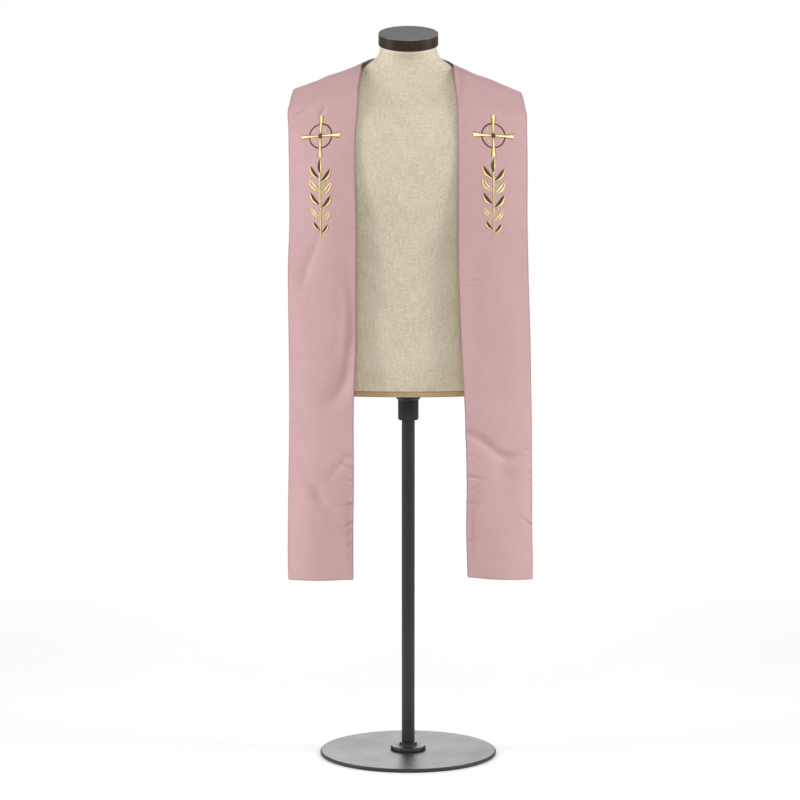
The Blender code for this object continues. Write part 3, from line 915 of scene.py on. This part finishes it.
def rolled_edge(half, across, along):
    middle, half_length, width, back = ROLLED_EDGE[half]
    share = (width - across) / width
    turned_back = (np.sqrt(share**2 + 0.03) + share) / 2
    return -back * turned_back * np.exp(-(((along - middle) / half_length) ** 2))


def seam_allowance(across, along):
    """The turned-in allowance makes the cloth a little thicker along the edges and the tip."""
    inside = np.minimum(np.minimum(across, STOLE_WIDTH - across), along)
    return TURNING_LIFT / (1 + np.exp((inside - TURNING_WIDTH) / TURNING_FADE))


def ripples(across, along, seed):
    total = np.zeros_like(across)
    for index in np.ndindex(across.shape):
        place = Vector((across[index], along[index], seed))
        for height, over, up, shift in RIPPLES:
            total[index] += height * noise.noise(Vector((place.x * over, place.y * up, seed + shift)))
    return total


def flatten_seam(points, side):
    """The last rows lie side by side across the centre-back seam, so the halves meet squarely."""
    points[-1, :, 0] = side * SEAM_GAP / 2
    points[-2, :, 0] = side * SEAM_FLAT / 2
    points[-3, :, 0] = side * SEAM_FLAT
    for row in (-2, -3):
        points[row, :, 1:] = points[-1, :, 1:]
    return points


class Half:
    """One half of the stole: its grid of points, normals and places, for what lies on it."""

    def __init__(self, half, side, body):
        self.half = half
        self.side = side
        hung, places = cloth_points(half, side)
        points = hung
        for softness, rounds in SOFT_CONTACTS:
            moved = drape_over(points, body, softness) - hung
            for _ in range(rounds):
                moved = neighbours_mean(moved)
            points = hung + moved
        across, along = places[..., 0], places[..., 1]
        lift = fold_heights(half, across, along) + pucker_heights(half, across, along)
        lift += rolled_edge(half, across, along) + seam_allowance(across, along)
        lift += ripples(across, along, 3.0 + 20 * (side > 0))
        points = points + normals_of(points, side) * lift[..., None]
        points = flatten_seam(settle(points, body), side)
        self.points = points
        self.places = places
        self.normals = normals_of(points, side)
        self.across = across_places()
        middle = points.shape[1] // 2
        steps = np.linalg.norm(np.diff(points[:, middle], axis=0), axis=1)
        self.run = np.concatenate([[0.0], np.cumsum(steps)])

    def at(self, across, along, lift):
        """The point this far from the inner edge and the tip, lifted off the cloth."""
        rows, columns = self.points.shape[:2]
        row = float(np.interp(along, self.run, np.arange(rows)))
        column = float(np.interp(across, self.across, np.arange(columns)))
        i, j = min(int(row), rows - 2), min(int(column), columns - 2)
        s, t = row - i, column - j
        weights = ((1 - s) * (1 - t), (1 - s) * t, s * (1 - t), s * t)
        corners = ((i, j), (i, j + 1), (i + 1, j), (i + 1, j + 1))
        point = sum(w * self.points[c] for w, c in zip(weights, corners))
        normal = sum(w * self.normals[c] for w, c in zip(weights, corners))
        return Vector(point + normal * lift)

    def build(self, rose, tan):
        face = surface(f"stole_{self.half}_cloth", self.points, self.places, rose, self.side < 0)
        thicken(face, FACE_WALL, EDGE_ROUND)
        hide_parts(f"stole_{self.half}")
        edge = len(EDGE_CELLS) - 1
        under = self.points - self.normals * (FACE_WALL + LAYER_GAP)
        rows = list(range(edge, len(under) - 3, 2)) + [len(under) - 3, len(under) - 1]
        columns = list(range(edge, under.shape[1] - edge, 2))
        pick = np.ix_(rows, columns)
        lining = surface(f"stole_{self.half}_inside", under[pick], self.places[pick], tan, self.side < 0)
        thicken(lining, LINING_WALL, EDGE_ROUND / 2)
        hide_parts(f"lining_{self.half}")
        return face, lining


# ---- the embroidery
class Needlework:
    """Satin stitches laid on one half, in distances right of and above the design's middle."""

    def __init__(self, half, finishes, seed):
        self.half = half
        self.finishes = finishes
        self.shape = bmesh.new()
        self.layer = self.shape.loops.layers.uv.new("stitch")
        self.random = random.Random(seed)

    def on_cloth(self, x, y, lift):
        across = STOLE_WIDTH / 2 + x * self.half.side
        return self.half.at(across, DESIGN_MIDDLE + y, lift)

    def band(self, path, width, thread_used, height, slant=0.0, shift=0.0):
        """A domed band of stitches along a path, its width read along it from 0 to 1.

        shift moves the band sideways by that share of its width.
        """
        points = [Vector((x, y)) for x, y in path]
        keys = [0.0]
        for a, b in zip(points, points[1:]):
            keys.append(keys[-1] + (b - a).length)
        count = max(4, round(keys[-1] / STITCH_ROW))
        read = smooth_reader(keys, points)
        rings = []
        for t in steps(0, 1, count):
            key = keys[-1] * t
            point = read(key)
            ahead = read(min(key + LOOK_AHEAD, keys[-1])) - read(max(key - LOOK_AHEAD, 0))
            ahead.normalize()
            aside = Vector((ahead.y, -ahead.x))
            wide = max(width(t), 0.0002)
            loose = min(LOOSE_END, wide * 0.06)
            left, right = (end * wide / 2 + wide * shift + self.random.uniform(-1, 1) * loose
                           for end in (-1, 1))
            full = height * min(1.0, (wide / FULL_WIDTH) ** 0.6)
            ring = []
            for k in (*range(DOME_POINTS), DOME_POINTS - 1, DOME_POINTS // 2, 0):
                c = 2 * k / (DOME_POINTS - 1) - 1
                lift = full * (1 - c * c) ** 0.62 if len(ring) < DOME_POINTS else -SINK
                offset = (left + right) / 2 + c * (right - left) / 2
                place = point + aside * offset + ahead * (slant * offset)
                ring.append((self.shape.verts.new(self.on_cloth(place.x, place.y, lift)), (c, key)))
            rings.append(ring)
        for ring, following in zip(rings, rings[1:]):
            for k in range(len(ring)):
                m = (k + 1) % len(ring)
                self.face((ring[k], ring[m], following[m], following[k]), thread_used)
        self.face(rings[0], thread_used)
        self.face(rings[-1][::-1], thread_used)

    def face(self, corners, thread_used):
        """A face from pairs of a vertex and its place on the stitches."""
        face = self.shape.faces.new([vertex for vertex, _ in corners])
        face.material_index = thread_used
        for loop, (_, place) in zip(face.loops, corners):
            loop[self.layer].uv = place

    def leaf(self, base, angle, length, width, bend, bright, dark):
        """A leaf in two halves of slanting stitches with the midrib as the valley between them."""
        turn = math.radians(angle)
        path = []
        for t in steps(0, 1, 8):
            heading = turn + math.radians(bend) * (t - 0.5)
            along = length * t
            sideways = length * 0.0046 * bend * math.sin(math.pi * t)
            path.append((
                base[0] + along * math.sin(turn) + sideways * math.cos(heading),
                base[1] + along * math.cos(turn) - sideways * math.sin(heading),
            ))

        def half_width(t):
            return width / 2 * (math.sin(math.pi * min(1.0, t) ** 0.85) ** 0.9 if 0 < t < 1 else 0.0)

        self.band(path, half_width, bright, 0.00075, 0.55, 0.5)
        self.band(path, half_width, dark, 0.00070, -0.55, -0.5)

    def berry(self, x, y, radius, thread_used):
        path = [(x, up) for up in steps(y - radius, y + radius, 6)]
        self.band(path, lambda t: 2 * radius * math.sqrt(max(0.0, 1 - (2 * t - 1) ** 2)), thread_used, 0.0011)

    def piece(self):
        name = f"gold_embroidery_{self.half.half}"
        return finish_mesh(self.shape, name, self.finishes, 70)


def tapered(start, end, power=1):
    """The width of a band along its length, from 0 to 1; a higher power widens it later."""
    return lambda t: start + (end - start) * t**power


def embroider(half, finishes, seed):
    """An equal-armed cross in a ring with a dot in each quarter, above an upright sprig of laurel."""
    work = Needlework(half, finishes, seed)
    middle = CROSS_MIDDLE
    circle = [(RING_RADIUS * math.sin(turn), middle + RING_RADIUS * math.cos(turn))
              for turn in steps(0, 2 * math.pi, 48)]
    work.band(circle, tapered(0.0030, 0.0030), BRONZE, 0.0005)
    for right, up in ((0, 1), (0, -1), (1, 0), (-1, 0)):
        arm = [(right * d, middle + up * d) for d in steps(0.002, ARM_REACH, 6)]
        work.band(arm, tapered(0.0052, 0.0125, 2.2), GOLD, 0.0010)
    diamond = [(0.0, y) for y in steps(middle - DIAMOND, middle + DIAMOND, 6)]
    work.band(diamond, lambda t: 2 * DIAMOND * (1 - abs(2 * t - 1)), BRONZE, 0.0016)
    for right, up in ((1, 1), (1, -1), (-1, -1), (-1, 1)):
        work.berry(right * DOT_PLACE, middle + up * DOT_PLACE, 0.0023, PALE)

    stem = [(0, y) for y in steps(STEM_TOP, STEM_FOOT, 12)]
    for level, (height, length, width) in enumerate(LEAF_PAIRS):
        for right in (1, -1):
            base = (right * 0.0016, height - 0.012 - (0.006 if right > 0 else 0.0))
            colours = (GOLD, BRONZE) if level % 2 == 0 else (PALE, GOLD)
            work.leaf(base, right * 40, length, width, right * 26, *colours[::right])
        side = 1 if level % 2 else -1
        stalk = [(side * x, height + y) for x, y in ((0.001, -0.004), (0.005, 0.002), (0.0085, 0.004))]
        work.band(stalk, tapered(0.0009, 0.0009), PALE, 0.0004)
        work.berry(side * 0.0098, height + 0.0052, 0.0021, GOLD)
    work.leaf((0.0, STEM_TOP - 0.003), 0, 0.031, 0.0105, 0, GOLD, BRONZE)
    work.band(stem, tapered(0.0046, 0.0020), GOLD, 0.0011)
    return work.piece()


# ---- the stage
def stage_floor():
    """A pale floor whose rim fades into the white surroundings."""
    shape = bmesh.new()
    bmesh.ops.create_circle(shape, cap_ends=True, segments=96, radius=FLOOR_RADIUS)
    floor = place_object("floor", mesh_from(shape, "floor"))
    pale = Finish("pale_floor", base_color=(0.88, 0.88, 0.88, 1), roughness=0.7, specular_ior_level=0.2,
                  emission_color=(1, 1, 1, 1), emission_strength=0.09)
    spot = pale.node("ShaderNodeTexCoord", {}, {}, "Object")
    from_middle = pale.node("ShaderNodeVectorMath", {"operation": "LENGTH"}, {0: spot}, "Value")
    pale.feed(alpha=pale.node("ShaderNodeMapRange", {"interpolation_type": "SMOOTHSTEP"}, {
        "Value": from_middle, "From Min": FADE_STARTS, "From Max": FADE_ENDS, "To Min": 1.0, "To Max": 0.0}))
    floor.data.materials.append(pale.material)


def softbox(name, location, aim, width, height, watts):
    light = bpy.data.lights.new(name, "AREA")
    light.shape = "RECTANGLE"
    light.size, light.size_y = width, height
    light.energy = watts
    lamp = place_object(name, light)
    lamp.location = location
    lamp.rotation_euler = (Vector(aim) - Vector(location)).to_track_quat("-Z", "Y").to_euler()


def surroundings(seen, cast):
    """White all round: one brightness as seen, a lower one as light."""
    world = bpy.data.worlds.new("white_studio")
    world.use_nodes = True
    nodes, links = world.node_tree.nodes, world.node_tree.links
    nodes.clear()
    path, choice, out = [nodes.new(f"ShaderNode{kind}") for kind in ("LightPath", "MixShader", "OutputWorld")]
    links.new(path.outputs["Is Camera Ray"], choice.inputs[0])
    for place, strength in ((1, cast), (2, seen)):
        white = nodes.new("ShaderNodeBackground")
        white.inputs["Color"].default_value = (1, 1, 1, 1)
        white.inputs["Strength"].default_value = strength
        links.new(white.outputs[0], choice.inputs[place])
    links.new(choice.outputs[0], out.inputs["Surface"])
    bpy.context.scene.world = world


def camera():
    lens = bpy.data.cameras.new("camera")
    lens.sensor_width = 36.0
    lens.lens = LENS
    made = place_object("camera", lens)
    made.location = EYE
    made.rotation_euler = (math.pi / 2 - math.atan((EYE[2] - AIM_HEIGHT) / AIM_DISTANCE), 0, 0)
    bpy.context.scene.camera = made


def build():
    camera()
    stage_floor()
    surroundings(WHITE_SEEN, WHITE_CAST)
    for row in SOFTBOXES:
        softbox(*row)
    bpy.context.scene.view_settings.view_transform = "Standard"

    heights, angles, rings = torso_rings()
    cover = cover_piece(rings, heights, angles, linen_cover())
    board_piece(rings[0], birch_board())
    build_block(dark_painted_wood())
    build_stand()

    body = BVHTree.FromPolygons([v.co.copy() for v in cover.data.vertices],
                                [p.vertices[:] for p in cover.data.polygons])
    rose, tan = rose_cloth(), tan_lining()
    threads = [thread(*row) for row in THREADS]
    for half, side in (("right", -1), ("left", 1)):
        cloth = Half(half, side, body)
        face, lining = cloth.build(rose, tan)
        stitching = embroider(cloth, threads, 11 + side)


build()
